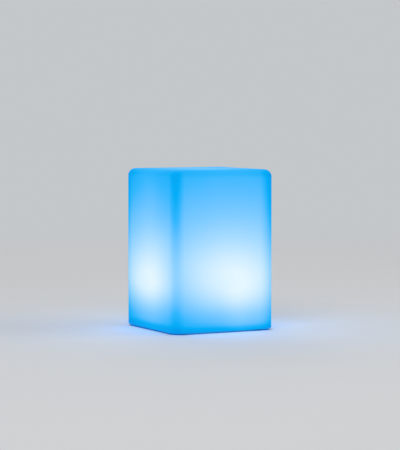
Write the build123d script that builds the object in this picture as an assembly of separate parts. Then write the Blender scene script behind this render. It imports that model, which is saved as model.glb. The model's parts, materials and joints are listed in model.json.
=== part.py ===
from build123d import *
import math
import os

# Portable outdoor table lamp. A rounded block of milky polyethylene glows all over, and a plate
# screwed into its underside carries the cell, the lights and the controls.
# Millimetres. The origin is on the table under the middle of the lamp, +Z is up, -Y is the front.

# Shade
SHADE_WIDTH = 100.0  # outside, the same along X and Y
SHADE_HEIGHT = 140.0
SHADE_WALL = 3.0
UPRIGHT_RADIUS = 11.0  # outside radius of the four upright edges
TOP_RADIUS = 6.5  # outside radius round the top face
UNDER_RADIUS = 1.2  # outside radius round the underside
INNER_RADIUS_MIN = 0.5  # the cavity's edges stay at least this round
TABLE_GAP = 1.2  # the feet hold the shade this far off the table
RIM_WIDTH = 6.0  # underside of the shade round the base plate
LEDGE_WIDTH = 8.0  # ledge inside the shade that the base plate is pulled up to
LEDGE_THICKNESS = 3.0
SEAT_RADIUS = 9.0  # corners of the recess that takes the base plate
MOUTH_RADIUS = 16.0  # corners of the opening inside the ledge

# Base plate and gasket
PLATE_THICKNESS = 3.0
PLATE_INSET = 0.4  # the plate's underside above the shade's underside
PLATE_CHAMFER = 0.6
SEAT_CLEARANCE = 0.3  # all round between the plate and its recess
GASKET_THICKNESS = 1.0
GASKET_MARGIN = 0.7  # the gasket stops short of the ledge's edges
COLLAR_CLEARANCE = 0.5  # between the plate's collar and the mouth
COLLAR_WALL = 1.6
COLLAR_HEIGHT = 3.4

# Base screws, inserts and feet
SCREW_DIAMETER = 3.0
SCREW_LENGTH = 10.0
SCREW_HEAD_DIAMETER = 5.6
SCREW_HEAD_HEIGHT = 1.8
SCREW_HOLE_CLEARANCE = 0.2  # radial, in the plate and the gasket
SOCKET_ACROSS_FLATS = 2.0  # hexagon socket in a screw head
SOCKET_DEPTH = 1.0
THREAD_CLEARANCE = 0.05  # radial, between a screw and what it is driven into
INSERT_DIAMETER = 4.6
INSERT_LENGTH = 6.0
INSERT_GROOVE = 0.3  # depth of the groove round the middle of an insert
INSERT_GROOVE_WIDTH = 1.4
BOSS_WALL = 2.2
BOSS_ROOF = 2.0  # plastic left above a blind hole
HOLE_SPARE = 0.5  # a blind hole is this much deeper than its screw
FOOT_DIAMETER = 11.0
FOOT_RECESS = 1.2  # depth of a foot's recess in the plate
FOOT_CLEARANCE = 0.2
FOOT_ROUNDING = 0.7
HEAD_CLEARANCE = 0.6  # between a screw head and the foot round it

# Cell and its cradles
CELL_DIAMETER = 18.4
CELL_LENGTH = 65.0
CELL_BOSS_GAP = 2.0  # between the cell's left side and the bosses beside its ends
CELL_LIFT = 0.6  # the cell clears the ledge by this much
CELL_ROUNDING = 0.8
CRADLE_CLEARANCE = 0.15
CRADLE_WALL = 1.8
CRADLE_LENGTH = 8.0
CRADLE_SPACING = 32.0
CRADLE_FOOT_WIDTH = 12.0
CRADLE_GAPE = 110.0  # open angle at the top of a cradle, degrees
PROTECTION_THICKNESS = 1.0
PROTECTION_MARGIN = 0.6  # the protection board stays inside the cell's end by this much

# Boards
BOARD_THICKNESS = 1.6
BOARD_GAP = 0.6  # between the cradles and the boards
BOARD_SPACING = 5.1  # from the control board's top to the LED board's underside
BOARD_POST_DIAMETER = 5.0
BOARD_POST_INSET = 3.5  # a control board post stands this far in from the board's edges
BOARD_CORNER = 1.5
CONTROL_EDGE_GAP = 1.5  # between the control board and the collar
LED_POST_DIAMETER = 6.0
LED_POST_INSET = 4.0
LED_CORNER = 3.0
LED_SIDE_GAP = 6.0  # between the LED board and the collar along X
LED_END_GAP = 4.0  # between the LED board and the collar along Y
POST_CLEARANCE = 1.0  # between the control board and the LED board's posts
SMALL_SCREW_DIAMETER = 2.0
SMALL_SCREW_LENGTH = 5.0
SMALL_HEAD_DIAMETER = 3.8
SMALL_HEAD_HEIGHT = 1.3
SLOT_WIDTH = 0.6  # driver slot in a small screw head
SLOT_DEPTH = 0.6

# Parts on top of the control board, placed from its middle
CHARGER_SIZE = (5.0, 4.0, 1.5)
CHARGER_PLACE = (4.0, 5.0)
CONTROLLER_SIZE = (10.0, 4.0, 1.6)
CONTROLLER_PLACE = (-6.0, -2.5)
COIL_WIDTH = 6.0
COIL_HEIGHT = 2.8
COIL_CORNER = 1.2
COIL_PLACE = (12.0, 4.5)
CAPACITOR_DIAMETER = 5.0
CAPACITOR_HEIGHT = 4.2
CAPACITOR_ROUNDING = 0.4
CAPACITOR_PLACE = (11.0, -4.0)

# Lights
LED_SIZE = 5.0
LED_HEIGHT = 1.6
LED_COUNT = 8
LED_RING_RADIUS = 10.5
LED_LENS_DIAMETER = 4.0
LED_LENS_DEPTH = 0.3
IR_WIDTH = 6.0
IR_DEPTH = 3.4
IR_HEIGHT = 5.0
IR_LENS_RADIUS = 1.6
IR_EDGE_GAP = 1.2  # from the LED board's right edge
IR_PLACE = 14.0  # from the middle, along Y

# Power button and its switch
BUTTON_DIAMETER = 11.6
BUTTON_CLEARANCE = 0.1  # radial
BUTTON_INSET = 0.4  # the button's face above the plate's underside
BUTTON_TRAVEL = 0.6
BUTTON_FLANGE_WIDTH = 1.4
BUTTON_FLANGE_THICKNESS = 0.8
BUTTON_STEM_DIAMETER = 4.0
BUTTON_STEM_LENGTH = 0.2
BUTTON_DISH_DEPTH = 0.4  # hollow for the fingertip in the button's face
BUTTON_DISH_EDGE = 1.2
BUTTON_DISH_TAPER = 1.0
SEAL_SECTION = 0.5  # radius of the sealing ring
SEAL_SQUEEZE_GAP = 0.02  # between the sealing ring and the plate
DISH_DIAMETER = 22.0  # shallow finger dish in the plate round the button
DISH_DEPTH = 0.8
DISH_FLAT = 1.2  # flat ring between the dish's slope and the button
SWITCH_SIZE = 6.0
SWITCH_HEIGHT = 3.5
PLUNGER_DIAMETER = 3.4
PLUNGER_CLEARANCE = 0.08
PLUNGER_PROUD = 0.8
PLUNGER_DEPTH = 1.0  # length of the plunger inside the switch at rest
PLUNGER_SPARE = 0.2

# Charging socket and its plug
PORT_INSET = 8.4  # the socket's middle from the control board's right edge
PORT_WIDTH = 8.94
PORT_HEIGHT = 3.16
PORT_WALL = 0.3
PORT_CLEARANCE = 0.2
PORT_SETBACK = 0.2  # the socket's mouth behind the floor of the plug's pocket
TONGUE_WIDTH = 6.7
TONGUE_THICKNESS = 0.7
TONGUE_SETBACK = 1.2
TONGUE_ROOT = 1.5  # block at the back of the socket that carries the tongue
PLUG_LENGTH = 15.4
PLUG_WIDTH = 8.4
PLUG_THICKNESS = 1.4
PLUG_CORNER = 3.6
PLUG_CLEARANCE = 0.3
PLUG_BACK_GAP = 0.2
PLUG_EDGE = 0.4
NOSE_CLEARANCE = 0.4
NOSE_LENGTH = 1.2
NAIL_NOTCH_RADIUS = 2.6
NAIL_NOTCH_DEPTH = 1.0
STRAP_WIDTH = 5.0
STRAP_THICKNESS = 0.6
STRAP_INSET = 0.2  # the strap's face above the plate's underside
STRAP_REACH = 1.3  # from the plug's end to the line where the strap folds
STRAP_CLEARANCE = 0.4
FOLD_GAP = 0.65  # from the fold line to the anchored half of the strap
ANCHOR_REACH = 4.6  # from the fold line to the anchor's middle
ANCHOR_DIAMETER = 6.4
ANCHOR_THICKNESS = 1.2
ANCHOR_PIN_DIAMETER = 2.4
ANCHOR_PIN_CLEARANCE = 0.05
ANCHOR_BARB_DIAMETER = 3.8
ANCHOR_BARB_HEIGHT = 1.2

# Charging light
PIPE_DIAMETER = 2.4
PIPE_CLEARANCE = 0.05
PIPE_FLANGE_DIAMETER = 3.6
PIPE_FLANGE_THICKNESS = 0.8
PIPE_EDGE_GAP = 3.5  # the pipe's middle from the control board's front edge
CHARGE_LED_LENGTH = 2.0
CHARGE_LED_WIDTH = 1.2
CHARGE_LED_HEIGHT = 0.8
PIPE_LIGHT_GAP = 0.3

# Connectors and wires
CONNECTOR_DEPTH = 6.0
CONNECTOR_HEIGHT = 4.6
CONNECTOR_SIDE = 1.9  # plastic beside the outermost wires
WIRE_PITCH = 2.0
WIRE_DIAMETER = 1.6
LED_WIRE_DIAMETER = 1.3
LED_WIRE_COUNT = 4
LED_WIRE_BOW = 3.5  # the wires to the lights stand this far off the LED board's edge
LED_WIRE_LANDING = 2.0  # length of those wires on top of the LED board
BATTERY_PLUG_PLACE = 11.0  # the cell's connector from the control board's left edge
LEAD_START_INNER = 5.0  # where the leads leave the cell's end, to the right of its axis
LEAD_START_OUTER = 2.0
LEAD_BOW_INNER = 3.0  # how far the leads stand off the cell's end
LEAD_BOW_OUTER = 5.2
WIRE_BEND_RADIUS = 2.4

# Heights
SHADE_LOW = TABLE_GAP
SHADE_TOP = SHADE_LOW + SHADE_HEIGHT
PLATE_LOW = SHADE_LOW + PLATE_INSET
PLATE_TOP = PLATE_LOW + PLATE_THICKNESS
LEDGE_LOW = PLATE_TOP + GASKET_THICKNESS
LEDGE_TOP = LEDGE_LOW + LEDGE_THICKNESS
CELL_Z = LEDGE_TOP + CELL_LIFT + CELL_DIAMETER / 2
HEAD_SEAT = PLATE_LOW + FOOT_RECESS
BUTTON_LOW = PLATE_LOW + BUTTON_INSET
FLANGE_TOP = PLATE_TOP + BUTTON_FLANGE_THICKNESS
PLUNGER_LOW = FLANGE_TOP + BUTTON_STEM_LENGTH
SWITCH_LOW = PLUNGER_LOW + PLUNGER_PROUD
CONTROL_LOW = SWITCH_LOW + SWITCH_HEIGHT
CONTROL_TOP = CONTROL_LOW + BOARD_THICKNESS
LED_BOARD_LOW = CONTROL_TOP + BOARD_SPACING
LED_BOARD_TOP = LED_BOARD_LOW + BOARD_THICKNESS
POCKET_FLOOR = PLATE_LOW + PLUG_THICKNESS + PLUG_BACK_GAP
PORT_LOW = POCKET_FLOOR + PORT_SETBACK
FOLD_Z = PLATE_LOW + STRAP_INSET + STRAP_THICKNESS / 2
WIRE_Z = CONTROL_TOP + CONNECTOR_HEIGHT / 2


def corner_reach(width, radius):
    """Distance from the middle of a rounded square to its rounded corner."""
    return width / 2 * math.sqrt(2) - radius * (math.sqrt(2) - 1)


# Widths and places. The base screws stand in the middle of the ledge's corners.
SEAT_WIDTH = SHADE_WIDTH - 2 * RIM_WIDTH
MOUTH_WIDTH = SEAT_WIDTH - 2 * LEDGE_WIDTH
LEDGE_CORNER = corner_reach(MOUTH_WIDTH, MOUTH_RADIUS) + corner_reach(SEAT_WIDTH, SEAT_RADIUS)
SCREW_PLACE = LEDGE_CORNER / 2 / math.sqrt(2)
PLATE_WIDTH = SEAT_WIDTH - 2 * SEAT_CLEARANCE
COLLAR_WIDTH = MOUTH_WIDTH - 2 * COLLAR_CLEARANCE
COLLAR_INSIDE = COLLAR_WIDTH / 2 - COLLAR_WALL
BOSS_RADIUS = INSERT_DIAMETER / 2 + BOSS_WALL
CELL_X = CELL_DIAMETER / 2 + CELL_BOSS_GAP + BOSS_RADIUS - SCREW_PLACE
CRADLE_BORE = CELL_DIAMETER / 2 + CRADLE_CLEARANCE
CRADLE_OUTSIDE = CRADLE_BORE + CRADLE_WALL
BOARD_LEFT = CELL_X + CRADLE_OUTSIDE + BOARD_GAP
LED_RIGHT = COLLAR_INSIDE - LED_SIDE_GAP
LED_BOARD_X = (BOARD_LEFT + LED_RIGHT) / 2
LED_BOARD_WIDTH = LED_RIGHT - BOARD_LEFT
LED_BOARD_DEPTH = 2 * (COLLAR_INSIDE - LED_END_GAP)
LED_POST_Y = LED_BOARD_DEPTH / 2 - LED_POST_INSET
CONTROL_RIGHT = COLLAR_INSIDE - CONTROL_EDGE_GAP
CONTROL_X = (BOARD_LEFT + CONTROL_RIGHT) / 2
CONTROL_WIDTH = CONTROL_RIGHT - BOARD_LEFT
CONTROL_DEPTH = 2 * (LED_POST_Y - LED_POST_DIAMETER / 2 - POST_CLEARANCE)
PORT_X = CONTROL_RIGHT - PORT_INSET
PIPE_Y = PIPE_EDGE_GAP - CONTROL_DEPTH / 2
FOLD_Y = PLUG_LENGTH / 2 + STRAP_REACH
ANCHOR_Y = FOLD_Y + ANCHOR_REACH
BUTTON_HOLE_RADIUS = BUTTON_DIAMETER / 2 + BUTTON_CLEARANCE
FLANGE_RADIUS = BUTTON_DIAMETER / 2 + BUTTON_FLANGE_WIDTH
SCREW_HOLE_RADIUS = SCREW_DIAMETER / 2 + SCREW_HOLE_CLEARANCE
BATTERY_PLUG_X = BOARD_LEFT + BATTERY_PLUG_PLACE


def slab(width, depth, radius, low, high, x=0.0, y=0.0):
    """Upright block with rounded corners between two heights."""
    return extrude(Pos(x, y, low) * RectangleRounded(width, depth, radius), high - low)


def box(width, depth, low, high, x=0.0, y=0.0):
    """Upright block with sharp corners between two heights."""
    return extrude(Pos(x, y, low) * Rectangle(width, depth), high - low)


def rod(radius, low, high, x=0.0, y=0.0):
    """Upright cylinder between two heights."""
    return extrude(Pos(x, y, low) * Circle(radius), high - low)


def four_places(x, y, centre_x=0.0):
    """The four corners of a rectangle about a point on the X axis."""
    return [(centre_x + side * x, end * y) for side in (-1, 1) for end in (-1, 1)]


def rim(solid, end):
    """The edges of a solid at its lowest (0) or highest (-1) level."""
    return solid.edges().group_by(Axis.Z)[end]


SCREW_PLACES = four_places(SCREW_PLACE, SCREW_PLACE)
CONTROL_POSTS = four_places(
    CONTROL_WIDTH / 2 - BOARD_POST_INSET, CONTROL_DEPTH / 2 - BOARD_POST_INSET, CONTROL_X
)
LED_POSTS = four_places(LED_BOARD_WIDTH / 2 - LED_POST_INSET, LED_POST_Y, LED_BOARD_X)


def shade_shell():
    """Closed block with a cavity, a stepped mouth in its underside and four screw bosses."""
    body = slab(SHADE_WIDTH, SHADE_WIDTH, UPRIGHT_RADIUS, SHADE_LOW, SHADE_TOP)
    body = fillet(rim(body, -1), TOP_RADIUS)
    body = fillet(rim(body, 0), UNDER_RADIUS)
    inside = SHADE_WIDTH - 2 * SHADE_WALL
    upright = max(UPRIGHT_RADIUS - SHADE_WALL, INNER_RADIUS_MIN)
    cavity = slab(inside, inside, upright, LEDGE_TOP, SHADE_TOP - SHADE_WALL)
    cavity = fillet(rim(cavity, -1), max(TOP_RADIUS - SHADE_WALL, INNER_RADIUS_MIN))
    cavity = fillet(rim(cavity, 0), SHADE_WALL)
    body -= cavity
    body -= slab(MOUTH_WIDTH, MOUTH_WIDTH, MOUTH_RADIUS, LEDGE_LOW, LEDGE_TOP)
    body -= slab(SEAT_WIDTH, SEAT_WIDTH, SEAT_RADIUS, SHADE_LOW, LEDGE_LOW)
    hole_top = HEAD_SEAT + SCREW_LENGTH + HOLE_SPARE
    for x, y in SCREW_PLACES:
        body += rod(BOSS_RADIUS, LEDGE_TOP, hole_top + BOSS_ROOF, x, y)
    for x, y in SCREW_PLACES:
        body -= rod(INSERT_DIAMETER / 2, LEDGE_LOW, hole_top, x, y)
    return body


def threaded_insert(x, y):
    """Brass sleeve with a groove round its middle that locks it in the boss."""
    middle = LEDGE_LOW + INSERT_LENGTH / 2
    groove_low = middle - INSERT_GROOVE_WIDTH / 2
    groove_high = middle + INSERT_GROOVE_WIDTH / 2
    ring = rod(INSERT_DIAMETER / 2, groove_low, groove_high, x, y)
    ring -= rod(INSERT_DIAMETER / 2 - INSERT_GROOVE, groove_low, groove_high, x, y)
    sleeve = rod(INSERT_DIAMETER / 2, LEDGE_LOW, LEDGE_LOW + INSERT_LENGTH, x, y) - ring
    return sleeve - rod(SCREW_DIAMETER / 2 + THREAD_CLEARANCE, LEDGE_LOW, LEDGE_LOW + INSERT_LENGTH, x, y)


def base_screw(x, y):
    """Socket-head screw, driven upwards with its head inside a foot."""
    screw = rod(SCREW_DIAMETER / 2, HEAD_SEAT, HEAD_SEAT + SCREW_LENGTH, x, y)
    head_low = HEAD_SEAT - SCREW_HEAD_HEIGHT
    screw += rod(SCREW_HEAD_DIAMETER / 2, head_low, HEAD_SEAT, x, y)
    hexagon = RegularPolygon(SOCKET_ACROSS_FLATS / 2, 6, major_radius=False)
    return screw - extrude(Pos(x, y, head_low) * hexagon, SOCKET_DEPTH)


def rubber_foot(x, y):
    """Ring foot, set into the plate round a screw head."""
    foot = rod(FOOT_DIAMETER / 2, 0.0, HEAD_SEAT, x, y)
    foot = fillet(rim(foot, 0), FOOT_ROUNDING)
    return foot - rod(SCREW_HEAD_DIAMETER / 2 + HEAD_CLEARANCE, 0.0, HEAD_SEAT, x, y)


def base_gasket():
    """Flat seal on the ledge, with a hole for each base screw."""
    outside = SEAT_WIDTH - 2 * GASKET_MARGIN
    inside = MOUTH_WIDTH + 2 * GASKET_MARGIN
    seal = slab(outside, outside, SEAT_RADIUS - GASKET_MARGIN, PLATE_TOP, LEDGE_LOW)
    seal -= slab(inside, inside, MOUTH_RADIUS + GASKET_MARGIN, PLATE_TOP, LEDGE_LOW)
    for x, y in SCREW_PLACES:
        seal -= rod(SCREW_HOLE_RADIUS, PLATE_TOP, LEDGE_LOW, x, y)
    return seal


def cell_cradle(y):
    """Open clip on a foot, which the cell snaps into from above."""
    half_gape = math.radians(CRADLE_GAPE / 2)
    reach = 2 * CRADLE_OUTSIDE
    corner = (reach * math.sin(half_gape), reach * math.cos(half_gape))
    gape = Polygon((0, 0), corner, (-corner[0], corner[1]), align=None)
    foot_height = CELL_Z - PLATE_TOP
    foot = Pos(0, -foot_height / 2) * Rectangle(CRADLE_FOOT_WIDTH, foot_height)
    outline = Circle(CRADLE_OUTSIDE) + foot - Circle(CRADLE_BORE) - gape
    place = Plane(origin=(CELL_X, y, CELL_Z), x_dir=(1, 0, 0), z_dir=(0, -1, 0))
    return extrude(place * outline, CRADLE_LENGTH / 2, both=True)


def posts(places, diameter, top):
    """Screw posts on the plate, each with a blind hole for a small screw."""
    hole_radius = SMALL_SCREW_DIAMETER / 2 + THREAD_CLEARANCE
    hole_low = top + BOARD_THICKNESS - SMALL_SCREW_LENGTH - HOLE_SPARE
    return [
        rod(diameter / 2, PLATE_TOP, top, x, y) - rod(hole_radius, hole_low, top, x, y)
        for x, y in places
    ]


def button_opening():
    """Round hole for the power button, and the finger dish that leads to it."""
    hole = rod(BUTTON_HOLE_RADIUS, PLATE_LOW, PLATE_TOP)
    low_face = Pos(0, 0, PLATE_LOW) * Circle(DISH_DIAMETER / 2)
    high_face = Pos(0, 0, PLATE_LOW + DISH_DEPTH) * Circle(BUTTON_HOLE_RADIUS + DISH_FLAT)
    return hole + loft([low_face, high_face])


def port_opening():
    """Pocket for the plug with its nail notch, strap channel, anchor hole and the socket's slot."""
    pocket_length = PLUG_LENGTH + 2 * PLUG_CLEARANCE
    pocket_width = PLUG_WIDTH + 2 * PLUG_CLEARANCE
    cut = slab(pocket_width, pocket_length, PLUG_CORNER + PLUG_CLEARANCE, PLATE_LOW, POCKET_FLOOR, PORT_X)
    cut += rod(NAIL_NOTCH_RADIUS, PLATE_LOW, PLATE_LOW + NAIL_NOTCH_DEPTH, PORT_X, -pocket_length / 2)
    slot = SlotOverall(PORT_WIDTH + 2 * PORT_CLEARANCE, PORT_HEIGHT + 2 * PORT_CLEARANCE, rotation=90)
    cut += extrude(Pos(PORT_X, 0, POCKET_FLOOR) * slot, PLATE_TOP - POCKET_FLOOR)
    channel_top = PLATE_LOW + STRAP_INSET + STRAP_THICKNESS + STRAP_CLEARANCE
    channel_width = STRAP_WIDTH + 2 * STRAP_CLEARANCE
    cut += box(channel_width, ANCHOR_Y, PLATE_LOW, channel_top, PORT_X, ANCHOR_Y / 2)
    anchor_top = PLATE_LOW + STRAP_INSET + ANCHOR_THICKNESS
    cut += rod(ANCHOR_DIAMETER / 2 + STRAP_CLEARANCE, PLATE_LOW, anchor_top, PORT_X, ANCHOR_Y)
    cut += rod(ANCHOR_PIN_DIAMETER / 2 + ANCHOR_PIN_CLEARANCE, PLATE_LOW, PLATE_TOP, PORT_X, ANCHOR_Y)
    return cut


def base_plate():
    """Plate with a collar, cradles and posts on top, and the controls' openings underneath."""
    plate = slab(PLATE_WIDTH, PLATE_WIDTH, SEAT_RADIUS - SEAT_CLEARANCE, PLATE_LOW, PLATE_TOP)
    plate = chamfer(rim(plate, 0), PLATE_CHAMFER)
    collar_radius = MOUTH_RADIUS - COLLAR_CLEARANCE
    collar_top = PLATE_TOP + COLLAR_HEIGHT
    collar = slab(COLLAR_WIDTH, COLLAR_WIDTH, collar_radius, PLATE_TOP, collar_top)
    collar -= slab(2 * COLLAR_INSIDE, 2 * COLLAR_INSIDE, collar_radius - COLLAR_WALL, PLATE_TOP, collar_top)
    plate += collar
    plate += [cell_cradle(end * CRADLE_SPACING / 2) for end in (-1, 1)]
    plate += posts(CONTROL_POSTS, BOARD_POST_DIAMETER, CONTROL_LOW)
    plate += posts(LED_POSTS, LED_POST_DIAMETER, LED_BOARD_LOW)
    for x, y in SCREW_PLACES:
        plate -= rod(SCREW_HOLE_RADIUS, PLATE_LOW, PLATE_TOP, x, y)
        plate -= rod(FOOT_DIAMETER / 2 + FOOT_CLEARANCE, PLATE_LOW, HEAD_SEAT, x, y)
    plate -= button_opening()
    plate -= port_opening()
    plate -= rod(PIPE_DIAMETER / 2 + PIPE_CLEARANCE, PLATE_LOW, PLATE_TOP, PORT_X, PIPE_Y)
    return plate


def battery_cell():
    """Round cell, lying along Y in its cradles."""
    cell = Cylinder(CELL_DIAMETER / 2, CELL_LENGTH, rotation=(90, 0, 0))
    cell = fillet(cell.edges().filter_by(GeomType.CIRCLE), CELL_ROUNDING)
    return Pos(CELL_X, 0, CELL_Z) * cell


def cell_protection_board():
    """Round board on the end of the cell, where the leads start."""
    radius = CELL_DIAMETER / 2 - CELL_ROUNDING - PROTECTION_MARGIN
    middle = CELL_LENGTH / 2 + PROTECTION_THICKNESS / 2
    return Pos(CELL_X, middle, CELL_Z) * Cylinder(radius, PROTECTION_THICKNESS, rotation=(90, 0, 0))


def board(width, depth, corner, low, x, places):
    """Circuit board with a hole over each of its posts."""
    sheet = slab(width, depth, corner, low, low + BOARD_THICKNESS, x)
    for hole_x, hole_y in places:
        sheet -= rod(SMALL_SCREW_DIAMETER / 2 + THREAD_CLEARANCE, low, low + BOARD_THICKNESS, hole_x, hole_y)
    return sheet


def control_board():
    """Board under the LED board, which carries the socket and the switch on its underside."""
    return board(CONTROL_WIDTH, CONTROL_DEPTH, BOARD_CORNER, CONTROL_LOW, CONTROL_X, CONTROL_POSTS)


def led_board():
    """White board on the taller posts, which carries the ring of lights."""
    return board(LED_BOARD_WIDTH, LED_BOARD_DEPTH, LED_CORNER, LED_BOARD_LOW, LED_BOARD_X, LED_POSTS)


def small_screw(x, y, seat):
    """Round-head screw with a driver slot, driven down through a board into its post."""
    screw = rod(SMALL_SCREW_DIAMETER / 2, seat - SMALL_SCREW_LENGTH, seat, x, y)
    head_top = seat + SMALL_HEAD_HEIGHT
    head = rod(SMALL_HEAD_DIAMETER / 2, seat, head_top, x, y)
    head = fillet(rim(head, -1), SMALL_HEAD_HEIGHT / 2)
    return screw + head - box(SMALL_HEAD_DIAMETER, SLOT_WIDTH, head_top - SLOT_DEPTH, head_top, x, y)


def rgb_led(index):
    """Square light with a round window, one of a ring."""
    angle = 2 * math.pi * index / LED_COUNT
    x = LED_BOARD_X + LED_RING_RADIUS * math.cos(angle)
    y = LED_RING_RADIUS * math.sin(angle)
    top = LED_BOARD_TOP + LED_HEIGHT
    light = box(LED_SIZE, LED_SIZE, LED_BOARD_TOP, top, x, y)
    return light - rod(LED_LENS_DIAMETER / 2, top - LED_LENS_DEPTH, top, x, y)


def ir_receiver():
    """Remote-control receiver with a round lens on top, at the edge of the LED board."""
    x = LED_RIGHT - IR_EDGE_GAP - IR_DEPTH / 2
    top = LED_BOARD_TOP + IR_HEIGHT
    case = box(IR_DEPTH, IR_WIDTH, LED_BOARD_TOP, top, x, IR_PLACE)
    return case + Pos(x, IR_PLACE, top) * Sphere(IR_LENS_RADIUS)


def control_chips():
    """Charging chip, controller, coil and capacitor on top of the control board."""
    chips = []
    square_chips = ((CHARGER_SIZE, CHARGER_PLACE), (CONTROLLER_SIZE, CONTROLLER_PLACE))
    for (width, depth, height), (x, y) in square_chips:
        chips.append(box(width, depth, CONTROL_TOP, CONTROL_TOP + height, CONTROL_X + x, y))
    x, y = COIL_PLACE
    coil = slab(COIL_WIDTH, COIL_WIDTH, COIL_CORNER, CONTROL_TOP, CONTROL_TOP + COIL_HEIGHT, CONTROL_X + x, y)
    x, y = CAPACITOR_PLACE
    capacitor = rod(CAPACITOR_DIAMETER / 2, CONTROL_TOP, CONTROL_TOP + CAPACITOR_HEIGHT, CONTROL_X + x, y)
    return chips + [coil, fillet(rim(capacitor, -1), CAPACITOR_ROUNDING)]


def connector(x, edge_y, wires):
    """Wire header at the edge of the control board, its mouth flush with that edge."""
    width = (wires - 1) * WIRE_PITCH + 2 * CONNECTOR_SIDE
    middle = edge_y - math.copysign(CONNECTOR_DEPTH / 2, edge_y)
    return box(width, CONNECTOR_DEPTH, CONTROL_TOP, CONTROL_TOP + CONNECTOR_HEIGHT, x, middle)


def wire(points, diameter):
    """Round wire along straight runs joined by bends."""
    path = FilletPolyline(*points, radius=WIRE_BEND_RADIUS)
    return sweep(Plane(origin=path @ 0, z_dir=path % 0) * Circle(diameter / 2), path)


def battery_lead(start, bow, pin):
    """Lead from the end of the cell, round and into the cell's connector."""
    start_x = CELL_X + start
    end_face = CELL_LENGTH / 2 + PROTECTION_THICKNESS
    end_x = BATTERY_PLUG_X + pin * WIRE_PITCH / 2
    points = [
        (start_x, end_face, WIRE_Z),
        (start_x, end_face + bow, WIRE_Z),
        (end_x, end_face + bow, WIRE_Z),
        (end_x, CONTROL_DEPTH / 2, WIRE_Z),
    ]
    return wire(points, WIRE_DIAMETER)


def led_wire(index):
    """One wire from the control board, round the edge of the LED board and onto its top."""
    x = LED_BOARD_X + (index - (LED_WIRE_COUNT - 1) / 2) * WIRE_PITCH
    edge = -LED_BOARD_DEPTH / 2
    bow = edge - LED_WIRE_BOW
    landing_z = LED_BOARD_TOP + LED_WIRE_DIAMETER / 2
    points = [
        (x, -CONTROL_DEPTH / 2, WIRE_Z),
        (x, bow, WIRE_Z),
        (x, bow, landing_z),
        (x, edge + LED_WIRE_LANDING, landing_z),
    ]
    return wire(points, LED_WIRE_DIAMETER)


def usb_socket():
    """Upright socket shell under the control board, its mouth in the floor of the plug's pocket."""
    outside = SlotOverall(PORT_WIDTH, PORT_HEIGHT, rotation=90)
    inside = SlotOverall(PORT_WIDTH - 2 * PORT_WALL, PORT_HEIGHT - 2 * PORT_WALL, rotation=90)
    back = CONTROL_LOW - TONGUE_ROOT
    shell = extrude(Pos(PORT_X, 0, PORT_LOW) * outside, CONTROL_LOW - PORT_LOW)
    return shell - extrude(Pos(PORT_X, 0, PORT_LOW) * inside, back - PORT_LOW)


def usb_contact_tongue():
    """Thin contact blade in the middle of the socket."""
    return box(TONGUE_THICKNESS, TONGUE_WIDTH, PORT_LOW + TONGUE_SETBACK, CONTROL_LOW - TONGUE_ROOT, PORT_X)


def switch_body():
    """Square switch under the control board, with a well for its plunger."""
    well_top = SWITCH_LOW + PLUNGER_DEPTH + BUTTON_TRAVEL + PLUNGER_SPARE
    body = box(SWITCH_SIZE, SWITCH_SIZE, SWITCH_LOW, CONTROL_LOW)
    return body - rod(PLUNGER_DIAMETER / 2 + PLUNGER_CLEARANCE, SWITCH_LOW, well_top)


def switch_plunger():
    """Round plunger that the button pushes up into the switch."""
    return rod(PLUNGER_DIAMETER / 2, PLUNGER_LOW, SWITCH_LOW + PLUNGER_DEPTH)


def seal_height():
    """Height of the sealing ring, halfway up the straight part of the button's hole."""
    return (PLATE_LOW + DISH_DEPTH + PLATE_TOP) / 2


def sealing_ring():
    """Ring of round section that just clears the button's hole."""
    radius = BUTTON_HOLE_RADIUS - SEAL_SQUEEZE_GAP - SEAL_SECTION
    return Pos(0, 0, seal_height()) * Torus(radius, SEAL_SECTION)


def power_button():
    """Round button with a dished face, held in by a flange, with a groove for its seal."""
    button = rod(BUTTON_DIAMETER / 2, BUTTON_LOW, PLATE_TOP)
    button += rod(FLANGE_RADIUS, PLATE_TOP, FLANGE_TOP)
    button += rod(BUTTON_STEM_DIAMETER / 2, FLANGE_TOP, PLUNGER_LOW)
    dish_radius = BUTTON_DIAMETER / 2 - BUTTON_DISH_EDGE
    low_face = Pos(0, 0, BUTTON_LOW) * Circle(dish_radius)
    high_face = Pos(0, 0, BUTTON_LOW + BUTTON_DISH_DEPTH) * Circle(dish_radius - BUTTON_DISH_TAPER)
    button -= loft([low_face, high_face])
    return button - sealing_ring()


def port_plug():
    """Soft plug with a nose for the socket and half a strap that ends on its fold line."""
    lid = slab(PLUG_WIDTH, PLUG_LENGTH, PLUG_CORNER, PLATE_LOW, PLATE_LOW + PLUG_THICKNESS, PORT_X)
    lid = fillet(rim(lid, 0), PLUG_EDGE)
    nose_width = PORT_WIDTH - 2 * (PORT_WALL + NOSE_CLEARANCE)
    nose_height = PORT_HEIGHT - 2 * (PORT_WALL + NOSE_CLEARANCE)
    nose = SlotOverall(nose_width, nose_height, rotation=90)
    lid += extrude(Pos(PORT_X, 0, PLATE_LOW + PLUG_THICKNESS) * nose, NOSE_LENGTH)
    strap_low = FOLD_Z - STRAP_THICKNESS / 2
    strap_high = FOLD_Z + STRAP_THICKNESS / 2
    strap_root = PLUG_LENGTH / 2 - PLUG_CORNER
    strap_length = FOLD_Y - strap_root
    lid += box(STRAP_WIDTH, strap_length, strap_low, strap_high, PORT_X, strap_root + strap_length / 2)
    return lid + Pos(PORT_X, FOLD_Y, FOLD_Z) * Cylinder(STRAP_THICKNESS / 2, STRAP_WIDTH, rotation=(0, 90, 0))


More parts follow.
